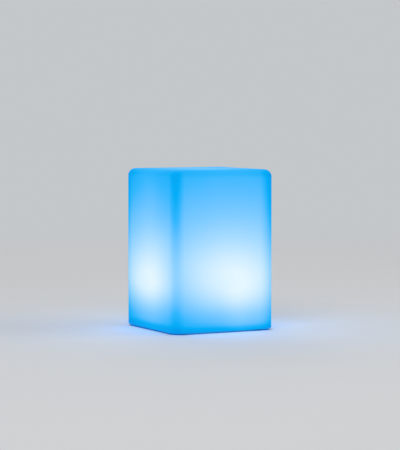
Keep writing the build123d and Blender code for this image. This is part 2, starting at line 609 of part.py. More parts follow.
def plug_anchor():
    """Fixed half of the strap, with a disc and a barbed pin pushed through the plate."""
    strap_low = FOLD_Z - STRAP_THICKNESS / 2
    strap_start = FOLD_Y + FOLD_GAP
    strap_length = ANCHOR_Y - strap_start
    strap_middle = strap_start + strap_length / 2
    anchor = box(STRAP_WIDTH, strap_length, strap_low, strap_low + STRAP_THICKNESS, PORT_X, strap_middle)
    disc_top = strap_low + ANCHOR_THICKNESS
    anchor += rod(ANCHOR_DIAMETER / 2, strap_low, disc_top, PORT_X, ANCHOR_Y)
    anchor += rod(ANCHOR_PIN_DIAMETER / 2, disc_top, PLATE_TOP, PORT_X, ANCHOR_Y)
    barb_low = Pos(PORT_X, ANCHOR_Y, PLATE_TOP) * Circle(ANCHOR_BARB_DIAMETER / 2)
    barb_high = Pos(PORT_X, ANCHOR_Y, PLATE_TOP + ANCHOR_BARB_HEIGHT) * Circle(ANCHOR_PIN_DIAMETER / 2)
    return anchor + loft([barb_low, barb_high])


def charge_led():
    """Small light under the control board, over the light pipe."""
    low = CONTROL_LOW - CHARGE_LED_HEIGHT
    return box(CHARGE_LED_WIDTH, CHARGE_LED_LENGTH, low, CONTROL_LOW, PORT_X, PIPE_Y)


def charge_light_pipe():
    """Clear pin from the charging light down through the plate."""
    pin_top = CONTROL_LOW - CHARGE_LED_HEIGHT - PIPE_LIGHT_GAP
    pin = rod(PIPE_DIAMETER / 2, PLATE_LOW, pin_top, PORT_X, PIPE_Y)
    flange_top = PLATE_TOP + PIPE_FLANGE_THICKNESS
    return pin + rod(PIPE_FLANGE_DIAMETER / 2, PLATE_TOP, flange_top, PORT_X, PIPE_Y)


def save(name, pieces):
    """Writes one node, which holds one solid or a group of like solids."""
    solids = [solid for piece in pieces for solid in piece.solids()]
    export_step(solids[0] if len(solids) == 1 else Compound(solids), f"parts/{name}.step")


os.makedirs("parts", exist_ok=True)
save("shade_shell", [shade_shell()])
save("threaded_inserts", [threaded_insert(x, y) for x, y in SCREW_PLACES])
save("base_plate", [base_plate()])
save("base_gasket", [base_gasket()])
save("base_screws", [base_screw(x, y) for x, y in SCREW_PLACES])
save("rubber_feet", [rubber_foot(x, y) for x, y in SCREW_PLACES])
save("battery_cell", [battery_cell()])
save("cell_protection_board", [cell_protection_board()])
save("battery_lead_red", [battery_lead(LEAD_START_OUTER, LEAD_BOW_OUTER, 1)])
save("battery_lead_black", [battery_lead(LEAD_START_INNER, LEAD_BOW_INNER, -1)])
save("battery_connector", [connector(BATTERY_PLUG_X, CONTROL_DEPTH / 2, 2)])
save("control_board", [control_board()])
save("control_board_screws", [small_screw(x, y, CONTROL_TOP) for x, y in CONTROL_POSTS])
save("control_chips", control_chips())
save("usb_socket", [usb_socket()])
save("usb_contact_tongue", [usb_contact_tongue()])
save("charge_led", [charge_led()])
save("charge_light_pipe", [charge_light_pipe()])
save("switch_body", [switch_body()])
save("led_board", [led_board()])
save("rgb_leds", [rgb_led(index) for index in range(LED_COUNT)])
save("led_board_screws", [small_screw(x, y, LED_BOARD_TOP) for x, y in LED_POSTS])
save("ir_receiver", [ir_receiver()])
save("led_connector", [connector(LED_BOARD_X, -CONTROL_DEPTH / 2, LED_WIRE_COUNT)])
save("led_harness", [led_wire(index) for index in range(LED_WIRE_COUNT)])
save("power_button", [power_button()])
save("button_seal", [sealing_ring()])
save("switch_plunger", [switch_plunger()])
save("port_plug", [port_plug()])
save("plug_anchor", [plug_anchor()])
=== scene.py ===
import json
import math

import bmesh
import bpy
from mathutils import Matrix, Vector


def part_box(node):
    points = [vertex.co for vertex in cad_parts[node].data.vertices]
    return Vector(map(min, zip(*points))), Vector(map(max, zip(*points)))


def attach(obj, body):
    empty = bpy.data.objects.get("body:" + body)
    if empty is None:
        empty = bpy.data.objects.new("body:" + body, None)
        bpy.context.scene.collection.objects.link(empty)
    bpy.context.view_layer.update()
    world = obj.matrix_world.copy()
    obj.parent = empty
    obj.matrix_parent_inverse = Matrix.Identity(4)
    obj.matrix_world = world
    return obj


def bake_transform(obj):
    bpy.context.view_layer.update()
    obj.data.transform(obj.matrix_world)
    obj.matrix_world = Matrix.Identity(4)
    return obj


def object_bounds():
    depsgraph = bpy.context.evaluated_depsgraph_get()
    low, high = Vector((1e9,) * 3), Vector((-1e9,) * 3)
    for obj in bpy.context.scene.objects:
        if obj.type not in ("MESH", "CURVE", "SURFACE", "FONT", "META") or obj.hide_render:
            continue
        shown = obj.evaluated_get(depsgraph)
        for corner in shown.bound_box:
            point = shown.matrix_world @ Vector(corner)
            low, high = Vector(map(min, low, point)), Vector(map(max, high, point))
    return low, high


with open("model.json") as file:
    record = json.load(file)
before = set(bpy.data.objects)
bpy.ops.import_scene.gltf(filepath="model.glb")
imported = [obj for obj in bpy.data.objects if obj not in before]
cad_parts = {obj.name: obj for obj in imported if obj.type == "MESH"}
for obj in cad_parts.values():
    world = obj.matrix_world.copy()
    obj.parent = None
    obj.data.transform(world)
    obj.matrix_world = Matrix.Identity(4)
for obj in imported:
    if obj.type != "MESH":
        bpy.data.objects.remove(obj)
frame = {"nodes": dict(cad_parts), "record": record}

# Portable table lamp: a rounded block of milky plastic that glows blue, on a screwed-in base.
# Metres, in the frame of the CAD model: +Z up, -Y the front, the table at z = 0.

CAD_LOW, CAD_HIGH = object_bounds()
MM = 0.001


def srgb(red, green, blue):
    """A colour given in steps of a screen, 0 to 255, as Blender wants it."""
    def channel(value):
        value /= 255.0
        return value / 12.92 if value <= 0.04045 else ((value + 0.055) / 1.055) ** 2.4
    return tuple(channel(value) for value in (red, green, blue))


# Camera, as the photograph was taken. Its values are fitted to the lamp's outline there.
CAMERA_TURN = math.radians(27.53)  # the camera stands this far round to the left of the front
CAMERA_PITCH = math.radians(3.47)  # it looks down by this much
CAMERA_DISTANCE = 1.7
CAMERA_SIDE = 0.7 * MM  # the middle of the view passes this far to the right of the lamp
CAMERA_HEIGHT = 0.1942
CAMERA_LENS = 153.3  # in millimetres, as Blender takes it and the sensor's width
CAMERA_SENSOR = 36.0

# Studio
BACKDROP = (0.552, 0.571, 0.584)
FLOOR = (0.66, 0.67, 0.68)
FLOOR_CLOUDS = 6.0  # waves in a metre of its faint clouds
FLOOR_CLOUD_SHADE = 0.985  # the clouds' brightness against the rest
FLOOR_ROUGHNESS = 0.85
FLOOR_SPECULAR = 0.2
FLOOR_REACH = 9.0  # half the side of the floor
FLOOR_FADE = (0.3, 1.5)  # between these distances the floor turns into the backdrop
FLOOR_PAINTED_SHADOW = srgb(0, 150, 215)  # painted shadow, tinted with the lamp's blue, on the floor in the gap under the shade
PAINTED_SHADOW_BLUR = 3.0 * MM  # the painted shadow fades in over this distance from the shade's outline
SHADE_ROUND = 11.0 * MM  # radius of the shade's upright edges
SKY_STRENGTH = 0.5
SPILL_COLOUR = (0.0, 0.3, 1.0)  # light that the lamp throws on the floor
SPILL_POWER = 5.0  # watts from each square metre of the faces
SPILL_GAP = 0.2 * MM  # its lights stand this far outside the faces

# Square soft lights: name, place, side and watts
SOFT_LIGHTS = [
    ("key_light", (-0.9, -1.1, 1.5), 1.2, 14.0),
    ("fill_light", (1.3, -0.7, 1.1), 1.0, 6.0),
    ("back_light", (0.4, 1.4, 1.3), 1.0, 5.0),
    ("under_light", (-0.9, -0.9, -1.3), 0.8, 16.0),
    ("under_fill", (1.2, 0.6, -1.2), 1.0, 5.0),
]

# Glow of the shade. Each upright face has one hot spot, such as a ring of lights inside would throw on it.
# The values here and under the next heading are fitted to the photograph, and named after likely causes.
# Heights are above the shade's underside. Brightness is the green of the colour, from 0 to 1.
GLOW_X = 5.5 * MM  # the light seems to come from this place
GLOW_Y = 5.0 * MM
GLOW_Z = 13.5 * MM
GLOW_REACH = 56.5 * MM  # how far behind the faces it seems to be, which sets the hot spots' spread
GLOW_NARROWING = 0.75  # under 1 they spread further sideways
GLOW_SOFTNESS = 0.15  # how gently the light fades below its own height
GLOW_BACK_LIGHT = 0.11  # light from all round inside, beside what goes upwards
GLOW_UNIT = 50.0 * MM  # distance at which the light counts as 1
GLOW_AMBIENT = 1.5  # light that every place has besides
GLOW_CONTRAST = 3.07  # brightness is the light's logarithm times this, plus the offset
GLOW_OFFSET = -0.885
GLOW_MOST = 0.93  # brightness that the hot spots don't pass
GLOW_CLOUDS = 45.0  # waves in a metre of faint clouds from uneven walls
GLOW_CLOUD_DEPTH = 0.008  # brightness between the darkest and the lightest cloud
TOP_GLOW = 0.1  # light on the middle of the top
TOP_REACH = 86.0 * MM  # how far it spreads from there

# Losses of the glow, as a share of it. Each one grows from the first place of its span to the second.
EDGE_LOSS = 0.11  # on the upright edges at the front left and the back right
EDGE_SPAN = (39.0 * MM, 50.0 * MM)  # out from the middle of the lamp
WIDE_EDGE_LOSS = 0.155  # on the other two, where the painted shade of weaker glow reaches further on to the faces
WIDE_EDGE_SPAN = (32.5 * MM, 49.0 * MM)
HIGH_EDGE_LOSS = 0.125  # added to both towards the top
HIGH_EDGE_SPAN = (40.0 * MM, 100.0 * MM)
TOP_EDGE_LOSS = 0.04
TOP_EDGE_SPAN = (6.6 * MM, 2.6 * MM)  # down from the top
TOP_CORNER_LOSS = 0.05  # added at the top ends of the wide edges
TOP_CORNER_SPAN = (15.0 * MM, 45.0 * MM)  # out from the middle of the lamp
TOP_CORNER_DEPTH = (9.0 * MM, 4.0 * MM)  # down from the top
FOOT_LOSS = 0.235  # towards the base, which blocks the light
FOOT_SPAN = (10.5 * MM, -4.5 * MM)
RIM_LOSS = 0.095  # on the solid rim under the wall
RIM_SPAN = (6.0 * MM, 1.7 * MM)
RIM_RISE = 2.0 * MM  # the rim's band is this much higher on the side next to the cell
CELL_LOSS = 0.095  # shadow of the cell on the side next to it
CELL_SPAN = (43.5 * MM, 19.0 * MM)
CELL_END_LOSS = 0.1  # shadow of the cell's ends on the front and the back
CELL_END_SPAN = (68.5 * MM, 23.0 * MM)
CELL_END_ACROSS = (17.0 * MM, -10.5 * MM)  # from right to left
BACK_LOSS = 0.15  # towards the back of the side next to the cell
BACK_SPAN = (-18.5 * MM, 61.5 * MM)
FRONT_LOSS = 0.055  # towards the front of that side, in its upper half
FRONT_SPAN = (10.0 * MM, -30.0 * MM)
FRONT_RISE = (70.0 * MM, 110.0 * MM)

# Colours that the plastic takes as it gets brighter, from the deep edges to the hot spots
GLOW_COLOURS = [
    srgb(0, 146, 230),
    srgb(3, 173, 247),
    srgb(50, 182, 252),
    srgb(90, 190, 254),
    srgb(130, 204, 254),
    srgb(170, 220, 254),
    srgb(230, 247, 255),
]

# Cloudy patterns: how many finer layers of waves they have, and the values that they hold
SOFT_DETAIL = 2.0
USUAL_DETAIL = 3.0
FINE_DETAIL = 4.0
FINEST_DETAIL = 5.0
CLOUD_MEAN = 0.5
CLOUD_RANGE = (0.3, 0.7)  # they seldom leave it

# Surfaces. Clouds, gloss, grain and marks are in waves in a metre, and a roughness is its least and most.
SHADE_COLOURS = ((0.0, 0.004, 0.012), (0.0, 0.006, 0.016))  # nearly black, so that only the glow shows
SHADE_CLOUDS = 60.0
SHADE_GLOSS = 220.0
SHADE_ROUGHNESS = (0.78, 0.88)
SHADE_SPECULAR = 0.03
SHADE_GRAIN = 900.0
SHADE_GRAIN_DEPTH = 0.02 * MM
FINISH_CLOUDS = 90.0
FINISH_GLOSS = 400.0
METAL_CLOUDS = 500.0
METAL_MARKS = 1200.0  # turning marks, which lie close above each other and run far round
METAL_MARK_STRETCH = (0.3, 0.3, 6.0)
METAL_ROUGHNESS = (0.24, 0.42)
METAL_MARK_DEPTH = 0.01 * MM
BOARD_TRACKS = 130.0  # units of the tracks' pattern in a metre
BOARD_TRACK_WIDTH = 0.035  # half a track's width, in those units
BOARD_TRACK_BLUR = 0.2
BOARD_TRACK_HEIGHT = 0.03 * MM
BOARD_ROW_SHIFT = 0.37  # every second row of tracks is shifted by this share of a run
BOARD_ROW_STRETCH = 1.6  # every third row has longer runs
BOARD_STRETCHED_ROW = 3
BOARD_GLOSS = 700.0
BOARD_ROUGHNESS = (0.3, 0.42)
LED_WHITE = srgb(236, 238, 240)
LED_WINDOW = srgb(250, 250, 225)
LED_LIGHT = srgb(150, 205, 255)
LED_WINDOW_DEPTH = 0.1 * MM  # the window lies deeper than this under the package's rim
LED_FACING_UP = 0.9  # and it faces up: its normal has more than this along +Z
LED_GLOSS = 800.0
LED_ROUGHNESS = (0.2, 0.35)
CLEAR_COLOURS = (srgb(226, 240, 246), srgb(240, 248, 250))
CLEAR_CLOUDS = 300.0
CLEAR_GLOSS = 900.0
CLEAR_ROUGHNESS = (0.06, 0.14)
CLEAR_IOR = 1.49
CLEAR_TRANSMISSION = 0.5

# Plain finishes: two colours that cloud into each other, the roughness, and the grain with its depth
FINISHES = {
    "base_plastic": (srgb(232, 233, 234), srgb(224, 226, 228), (0.5, 0.62), 2400.0, 0.07 * MM),
    "seal_silicone": (srgb(214, 213, 208), srgb(204, 204, 200), (0.5, 0.6), 900.0, 0.02 * MM),
    "grey_silicone": (srgb(104, 107, 111), srgb(94, 97, 101), (0.6, 0.74), 2200.0, 0.02 * MM),
    "mark_silicone": (srgb(206, 209, 212), srgb(196, 199, 203), (0.5, 0.6), 2200.0, 0.01 * MM),
    "foot_rubber": (srgb(30, 30, 31), srgb(40, 40, 41), (0.68, 0.82), 1400.0, 0.04 * MM),
    "cell_sleeve": (srgb(28, 92, 150), srgb(22, 80, 138), (0.25, 0.36), 300.0, 0.04 * MM),
    "chip_plastic": (srgb(26, 26, 28), srgb(34, 34, 36), (0.5, 0.66), 2500.0, 0.02 * MM),
    "connector_plastic": (srgb(236, 231, 216), srgb(228, 222, 205), (0.4, 0.5), 1200.0, 0.02 * MM),
    "red_wire": (srgb(176, 24, 24), srgb(160, 20, 20), (0.36, 0.46), 900.0, 0.02 * MM),
    "black_wire": (srgb(30, 30, 30), srgb(38, 38, 38), (0.36, 0.46), 900.0, 0.02 * MM),
    "white_wire": (srgb(228, 228, 224), srgb(218, 218, 214), (0.36, 0.46), 900.0, 0.02 * MM),
}

# Metals: two colours that cloud into each other
METALS = {
    "steel": (srgb(196, 198, 202), srgb(180, 182, 187)),
    "brass": (srgb(214, 182, 112), srgb(196, 164, 96)),
}

# Circuit boards: the solder mask and the tracks under it
BOARDS = {
    "green_board": (srgb(14, 92, 52), srgb(44, 128, 78)),
    "white_board": (srgb(238, 238, 234), srgb(222, 224, 222)),
}

# Raised sign on the button: an open ring with a bar in its gap
MARK_RADIUS = 2.0 * MM
MARK_LINE = 0.5 * MM
MARK_GAP = math.radians(64.0)
MARK_STEPS = 40
MARK_HEIGHT = 0.15 * MM
MARK_SUNK = 0.05 * MM
MARK_BAR_INNER = 0.35  # ends of the bar, in ring radii from the middle
MARK_BAR_OUTER = 1.25
BUTTON_DISH_DEPTH = 0.4 * MM

# Thin web where the plug's strap folds
STRAP_WIDTH = 5.0 * MM
WEB_THICKNESS = 0.3 * MM
WEB_OVERLAP = 0.35 * MM  # the web goes this far into both halves of the strap
WEB_STEPS = 14

# Sockets of Blender's Mix node that hold its two colours and its result
MIX_FIRST = 6
MIX_SECOND = 7
MIX_RESULT = 2


class Signal:
    """A number that changes over a surface. Plain arithmetic with it adds nodes to its material."""

    def __init__(self, nodes, socket):
        self.nodes = nodes
        self.socket = socket

    def __add__(self, other):
        return self.nodes.math("ADD", self, other)

    def __sub__(self, other):
        return self.nodes.math("SUBTRACT", self, other)

    def __rsub__(self, other):
        return self.nodes.math("SUBTRACT", other, self)

    def __mul__(self, other):
        return self.nodes.math("MULTIPLY", self, other)

    def __truediv__(self, other):
        return self.nodes.math("DIVIDE", self, other)

    def __rtruediv__(self, other):
        return self.nodes.math("DIVIDE", other, self)

    __radd__ = __add__
    __rmul__ = __mul__


class Nodes:
    """One material with a Principled shader, built with short calls."""

    def __init__(self, name):
        self.material = bpy.data.materials.new(name)
        self.material.use_nodes = True
        self.tree = self.material.node_tree
        self.tree.nodes.clear()
        self.output = self.tree.nodes.new("ShaderNodeOutputMaterial")
        self.shader = self.tree.nodes.new("ShaderNodeBsdfPrincipled")
        self.tree.links.new(self.shader.outputs[0], self.output.inputs[0])
        self.coordinates = self.tree.nodes.new("ShaderNodeTexCoord")

    def node(self, kind, **settings):
        """A new node with its settings."""
        made = self.tree.nodes.new(kind)
        for key, value in settings.items():
            setattr(made, key, value)
        return made

    def feed(self, socket, value):
        """Links a socket to a signal or another socket, or sets it to a number, vector or colour."""
        if isinstance(value, Signal):
            value = value.socket
        if isinstance(value, bpy.types.NodeSocket):
            self.tree.links.new(value, socket)
        elif socket.type == "RGBA":
            socket.default_value = (*value, 1.0)
        else:
            socket.default_value = value

    def set(self, name, value):
        """Gives one of the shader's sockets its value."""
        self.feed(self.shader.inputs[name], value)

    def math(self, operation, *values):
        """Signal that a Math node works out."""
        made = self.node("ShaderNodeMath", operation=operation)
        for socket, value in zip(made.inputs, values):
            self.feed(socket, value)
        return Signal(self, made.outputs[0])

    def length(self, *sides):
        """Length of a line from its sides, which stand square to each other."""
        squares = [side * side for side in sides]
        return self.math("SQRT", sum(squares[1:], squares[0]))

    def parts(self, output):
        """The three numbers of a texture coordinate, such as the place or the direction faced."""
        made = self.node("ShaderNodeSeparateXYZ")
        self.feed(made.inputs[0], self.coordinates.outputs[output])
        return [Signal(self, socket) for socket in made.outputs]

    def noise(self, scale, detail=USUAL_DETAIL, stretch=(1.0, 1.0, 1.0)):
        """Cloudy pattern between 0 and 1, with scale in waves in a metre."""
        mapping = self.node("ShaderNodeMapping")
        self.feed(mapping.inputs["Vector"], self.coordinates.outputs["Object"])
        self.feed(mapping.inputs["Scale"], stretch)
        made = self.node("ShaderNodeTexNoise")
        self.feed(made.inputs["Vector"], mapping.outputs[0])
        self.feed(made.inputs["Scale"], scale)
        self.feed(made.inputs["Detail"], detail)
        return Signal(self, made.outputs["Fac"])

    def span(self, value, source, target, smooth=False):
        """Maps a signal from one range to another and stops at the ends."""
        made = self.node("ShaderNodeMapRange")
        if smooth:
            made.interpolation_type = "SMOOTHSTEP"
        for socket, number in zip(made.inputs, (value, *source, *target)):
            self.feed(socket, number)
        return Signal(self, made.outputs[0])

    def grows(self, place, span):
        """From 0 at the first place of a span to 1 at the second."""
        return self.span(place, span, (0.0, 1.0), smooth=True)

    def uneven(self, pattern, limits):
        """A cloudy pattern, spread out between two limits."""
        return self.span(pattern, CLOUD_RANGE, limits)

    def mix(self, factor, first, second):
        """Colour between two colours."""
        made = self.node("ShaderNodeMix", data_type="RGBA")
        self.feed(made.inputs["Factor"], factor)
        self.feed(made.inputs[MIX_FIRST], first)
        self.feed(made.inputs[MIX_SECOND], second)
        return made.outputs[MIX_RESULT]

    def mix_shaders(self, factor, first, second):
        """Surface between two surfaces."""
        made = self.node("ShaderNodeMixShader")
        for socket, value in zip(made.inputs, (factor, first, second)):
            self.feed(socket, value)
        return made.outputs[0]

    def ramp(self, factor, stops):
        """Colour from a list of (place, colour) stops."""
        made = self.node("ShaderNodeValToRGB")
        elements = made.color_ramp.elements
        while len(elements) < len(stops):
            elements.new(0.5)
        for element, (place, colour) in zip(elements, stops):
            element.position = place
            element.color = (*colour, 1.0)
        self.feed(made.inputs[0], factor)
        return made.outputs[0]

    def bump(self, height, depth):
        """Surface relief from a signal between 0 and 1, with its depth in metres."""
        made = self.node("ShaderNodeBump")
        self.feed(made.inputs["Distance"], depth)
        self.feed(made.inputs["Height"], height)
        self.set("Normal", made.outputs[0])


class ShadePlace:
    """Where a point of the shade lies and which way it faces, as signals."""

    def __init__(self, nodes):
        low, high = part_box("shade_shell")
        self.nodes = nodes
        self.x, self.y, z = nodes.parts("Object")
        self.height = z - low.z
        self.depth = high.z - z
        facing_x, facing_y, facing_z = nodes.parts("Normal")
        self.x_share, self.y_share, self.z_share = (f * f for f in (facing_x, facing_y, facing_z))
        self.upright = 1.0 - self.z_share
        self.cell_side = self.x_share * nodes.math("LESS_THAN", facing_x, 0.0)

    def edge_nearness(self, span):
        """1 at the upright edges, where the distances from the middle both ways reach the span's end."""
        across, along = (self.nodes.math("ABSOLUTE", v) for v in (self.x, self.y))
        return self.nodes.grows(across, span) * self.nodes.grows(along, span)


def face_light(place, across):
    """Light that the ring throws on an upright face, by the distance across from the ring's middle."""
    rise = place.height - GLOW_Z
    distance = place.nodes.length(across * GLOW_NARROWING, rise, GLOW_REACH)
    slope = rise / distance
    upward = (slope + place.nodes.length(slope, GLOW_SOFTNESS)) / 2
    strength = (upward + GLOW_BACK_LIGHT) * (GLOW_REACH * GLOW_UNIT ** 2)
    return strength / place.nodes.math("POWER", distance, 3.0)


def top_light(place):
    """Light that the ring throws on the top."""
    across, along = place.x - GLOW_X, place.y - GLOW_Y
    spread = (across * across + along * along) / TOP_REACH ** 2 + 1.0
    return TOP_GLOW / (spread * spread)


def full_brightness(place):
    """Brightness of the shade before its losses."""
    left_and_right = place.x_share * face_light(place, place.y - GLOW_Y)
    front_and_back = place.y_share * face_light(place, place.x - GLOW_X)
    light = left_and_right + front_and_back + place.z_share * top_light(place) + GLOW_AMBIENT
    brightness = place.nodes.math("LOGARITHM", light, math.e) * GLOW_CONTRAST + GLOW_OFFSET
    return place.nodes.math("MINIMUM", brightness, GLOW_MOST)


def glow_losses(place):
    """Shares of the brightness that are lost, to be taken off one after the other."""
    grows = place.nodes.grows
    narrow = place.nodes.math("GREATER_THAN", place.x * place.y, 0.0)
    narrow_edge = place.upright * narrow
    wide_edge = place.upright * (1.0 - narrow)
    high_loss = grows(place.height, HIGH_EDGE_SPAN) * HIGH_EDGE_LOSS
    top_corner = place.edge_nearness(TOP_CORNER_SPAN) * grows(place.depth, TOP_CORNER_DEPTH)
    rim_height = place.height - place.cell_side * RIM_RISE
    cell_ends = place.y_share * grows(place.x, CELL_END_ACROSS)
    cell_front = place.cell_side * grows(place.height, FRONT_RISE)
    return [
        narrow_edge * place.edge_nearness(EDGE_SPAN) * (high_loss + EDGE_LOSS),
        wide_edge * place.edge_nearness(WIDE_EDGE_SPAN) * (high_loss + WIDE_EDGE_LOSS),
        wide_edge * top_corner * TOP_CORNER_LOSS,
        place.upright * grows(place.depth, TOP_EDGE_SPAN) * TOP_EDGE_LOSS,
        grows(place.height, FOOT_SPAN) * FOOT_LOSS,
        grows(rim_height, RIM_SPAN) * RIM_LOSS,
        place.cell_side * grows(place.height, CELL_SPAN) * CELL_LOSS,
        place.cell_side * grows(place.y, BACK_SPAN) * BACK_LOSS,
        cell_front * grows(place.y, FRONT_SPAN) * FRONT_LOSS,
        cell_ends * grows(place.height, CELL_END_SPAN) * CELL_END_LOSS,
    ]


def glow_plastic(name):
    """Satin polyethylene, lit from inside: hot spots on the faces, and painted shade on the edges, where
    the glow is weaker and its colour deeper.
    """
    nodes = Nodes(name)
    place = ShadePlace(nodes)
    brightness = full_brightness(place)
    for loss in glow_losses(place):
        brightness = brightness * (1.0 - loss)
    brightness = brightness + (nodes.noise(GLOW_CLOUDS, SOFT_DETAIL) - CLOUD_MEAN) * GLOW_CLOUD_DEPTH
    greens = [green for red, green, blue in GLOW_COLOURS]
    least, most = greens[0], greens[-1]
    stops = [((green - least) / (most - least), colour) for green, colour in zip(greens, GLOW_COLOURS)]
    nodes.set("Emission Color", nodes.ramp(nodes.span(brightness, (least, most), (0.0, 1.0)), stops))
    nodes.set("Emission Strength", 1.0)
    nodes.set("Base Color", nodes.mix(nodes.noise(SHADE_CLOUDS), *SHADE_COLOURS))
    nodes.set("Roughness", nodes.uneven(nodes.noise(SHADE_GLOSS), SHADE_ROUGHNESS))
    nodes.set("Specular IOR Level", SHADE_SPECULAR)
    nodes.bump(nodes.noise(SHADE_GRAIN, SOFT_DETAIL), SHADE_GRAIN_DEPTH)
    return nodes.material


def finish(name, colour, second, roughness, grain, depth):
    """Surface with clouds of a second colour, uneven gloss and a fine grain."""
    nodes = Nodes(name)
    clouds = nodes.uneven(nodes.noise(FINISH_CLOUDS, FINEST_DETAIL), (0.0, 1.0))
    nodes.set("Base Color", nodes.mix(clouds, colour, second))
    nodes.set("Roughness", nodes.uneven(nodes.noise(FINISH_GLOSS), roughness))
    nodes.bump(nodes.noise(grain, FINE_DETAIL), depth)
    return nodes.material


def brushed(name, colour, second):
    """Plated metal with fine turning marks."""
    nodes = Nodes(name)
    marks = nodes.noise(METAL_MARKS, FINE_DETAIL, METAL_MARK_STRETCH)
    nodes.set("Base Color", nodes.mix(nodes.noise(METAL_CLOUDS), colour, second))
    nodes.set("Roughness", nodes.uneven(marks, METAL_ROUGHNESS))
    nodes.set("Metallic", 1.0)
    nodes.bump(marks, METAL_MARK_DEPTH)
    return nodes.material


def circuit_board(name, mask, track):
    """Solder mask with copper tracks that show through it."""
    nodes = Nodes(name)
    tracks = nodes.node(
        "ShaderNodeTexBrick",
        offset=BOARD_ROW_SHIFT,
        squash=BOARD_ROW_STRETCH,
        squash_frequency=BOARD_STRETCHED_ROW,
    )
    settings = {
        "Vector": nodes.coordinates.outputs["Object"],
        "Color1": mask,
        "Color2": mask,
        "Mortar": track,
        "Scale": BOARD_TRACKS,
        "Mortar Size": BOARD_TRACK_WIDTH,
        "Mortar Smooth": BOARD_TRACK_BLUR,
    }
    for socket, value in settings.items():
        nodes.feed(tracks.inputs[socket], value)
    nodes.set("Base Color", tracks.outputs["Color"])
    nodes.set("Roughness", nodes.uneven(nodes.noise(BOARD_GLOSS), BOARD_ROUGHNESS))
    nodes.bump(tracks.outputs["Fac"], BOARD_TRACK_HEIGHT)
    return nodes.material


def light_package(name):
    """White light package whose sunken window glows."""
    nodes = Nodes(name)
    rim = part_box("rgb_leds")[1].z
    sunken = nodes.math("LESS_THAN", nodes.parts("Object")[2], rim - LED_WINDOW_DEPTH)
    window = sunken * nodes.math("GREATER_THAN", nodes.parts("Normal")[2], LED_FACING_UP)
    nodes.set("Base Color", nodes.mix(window, LED_WHITE, LED_WINDOW))
    nodes.set("Emission Color", nodes.mix(window, (0.0, 0.0, 0.0), LED_LIGHT))
    nodes.set("Emission Strength", 1.0)
    nodes.set("Roughness", nodes.uneven(nodes.noise(LED_GLOSS), LED_ROUGHNESS))
    return nodes.material


def clear_plastic(name):
    """Polished clear pin with a faint blue cast."""
    nodes = Nodes(name)
    nodes.set("Base Color", nodes.mix(nodes.noise(CLEAR_CLOUDS), *CLEAR_COLOURS))
    nodes.set("Roughness", nodes.uneven(nodes.noise(CLEAR_GLOSS), CLEAR_ROUGHNESS))
    nodes.set("IOR", CLEAR_IOR)
    nodes.set("Transmission Weight", CLEAR_TRANSMISSION)
    return nodes.material


def make_materials():
    """All materials by name. Those of the solids have the names of the record's material slots."""
    kinds = [
        (glow_plastic, {"lit_polyethylene": ()}),
        (light_package, {"led_package": ()}),
        (clear_plastic, {"clear_acrylic": ()}),
        (finish, FINISHES),
        (brushed, METALS),
        (circuit_board, BOARDS),
    ]
    return {name: make(name, *values) for make, rows in kinds for name, values in rows.items()}


def dress_solids():
    """Gives each solid the material of its slot."""
    for subpart in frame["record"]["subparts"]:
        mesh = frame["nodes"][subpart["node"]].data
        mesh.materials.clear()
        mesh.materials.append(MATERIALS[subpart["material_slot"]])


def piece(name, mesh, material):
    """A shown object made from a finished bmesh."""
    bmesh.ops.recalc_face_normals(mesh, faces=mesh.faces)
    data = bpy.data.meshes.new(name)
    mesh.to_mesh(data)
    mesh.free()
    data.materials.append(material)
    made = bpy.data.objects.new(name, data)
    bpy.context.collection.objects.link(made)
    return made


def ribbon(mesh, points, width, low, high):
    """Adds a closed flat strip of even width along points in the XY plane, between two heights."""
    rings = []
    for index, point in enumerate(points):
        before = points[max(index - 1, 0)]
        after = points[min(index + 1, len(points) - 1)]
        along = (Vector(after) - Vector(before)).normalized()
        aside = Vector((-along.y, along.x)) * width / 2
        sides = [Vector(point) + aside, Vector(point) - aside]
        corners = [(sides[0], low), (sides[1], low), (sides[1], high), (sides[0], high)]
        rings.append([mesh.verts.new((place.x, place.y, level)) for place, level in corners])
    for first, second in zip(rings, rings[1:]):
        for corner in range(len(first)):
            following = (corner + 1) % len(first)
            mesh.faces.new((first[corner], first[following], second[following], second[corner]))
    mesh.faces.new(rings[0])
    mesh.faces.new(rings[-1])


def button_mark():
    """The sign, standing out from the floor of the button's dish."""
    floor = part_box("power_button")[0].z + BUTTON_DISH_DEPTH
    low, high = floor - MARK_HEIGHT, floor + MARK_SUNK
    mesh = bmesh.new()
    arc = []
    for step in range(MARK_STEPS + 1):
        angle = -math.pi / 2 + MARK_GAP / 2 + (2 * math.pi - MARK_GAP) * step / MARK_STEPS
        arc.append((MARK_RADIUS * math.cos(angle), MARK_RADIUS * math.sin(angle)))
    ribbon(mesh, arc, MARK_LINE, low, high)
    bar = [(0.0, -MARK_RADIUS * MARK_BAR_INNER), (0.0, -MARK_RADIUS * MARK_BAR_OUTER)]
    ribbon(mesh, bar, MARK_LINE, low, high)
    mark = piece("button_mark", mesh, MATERIALS["mark_silicone"])
    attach(mark, "button")


def fold_web():
    """Flat web from the fixed half of the strap to the swinging half."""
    joint = next(j for j in frame["record"]["behaviour"]["joints"] if j["name"] == "plug_swing")
    middle_x, fold_y, fold_z = joint["pos_m"]
    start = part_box("plug_anchor")[0].y + WEB_OVERLAP
    end = fold_y - WEB_OVERLAP
    points = [(middle_x, start + (end - start) * step / WEB_STEPS) for step in range(WEB_STEPS + 1)]
    mesh = bmesh.new()
    ribbon(mesh, points, STRAP_WIDTH, fold_z - WEB_THICKNESS / 2, fold_z + WEB_THICKNESS / 2)
    web = piece("strap_fold", mesh, MATERIALS["grey_silicone"])
    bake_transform(web)


